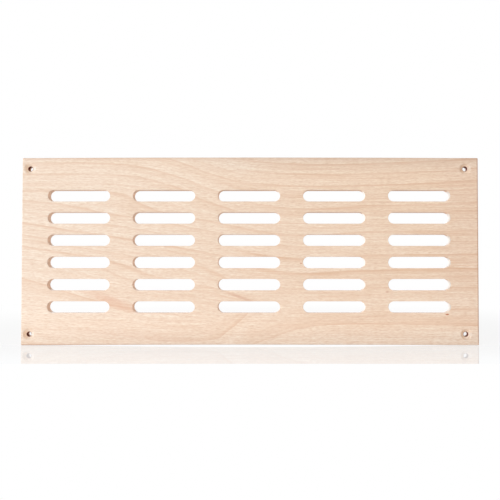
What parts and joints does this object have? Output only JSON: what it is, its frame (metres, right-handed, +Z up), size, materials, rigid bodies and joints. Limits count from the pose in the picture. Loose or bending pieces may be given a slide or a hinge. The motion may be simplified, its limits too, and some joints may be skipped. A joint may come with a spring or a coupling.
{
  "type": "ventilation grille",
  "caption": "Flat rectangular beech ventilation grille with rows of round-ended slots for air and a countersunk screw hole near each corner.",
  "frame": {"origin": "middle of the back face, which lies against the wall", "axes": "+X along the length of the board, +Y into the wall, +Z up; the front face looks to -Y"},
  "size_m": [0.4, 0.008, 0.1645],
  "materials": {
    "beech": "bare planed and sanded beech, unvarnished"
  },
  "bodies": {
    "root": {"grille_panel": "beech"}
  },
  "joints": []
}
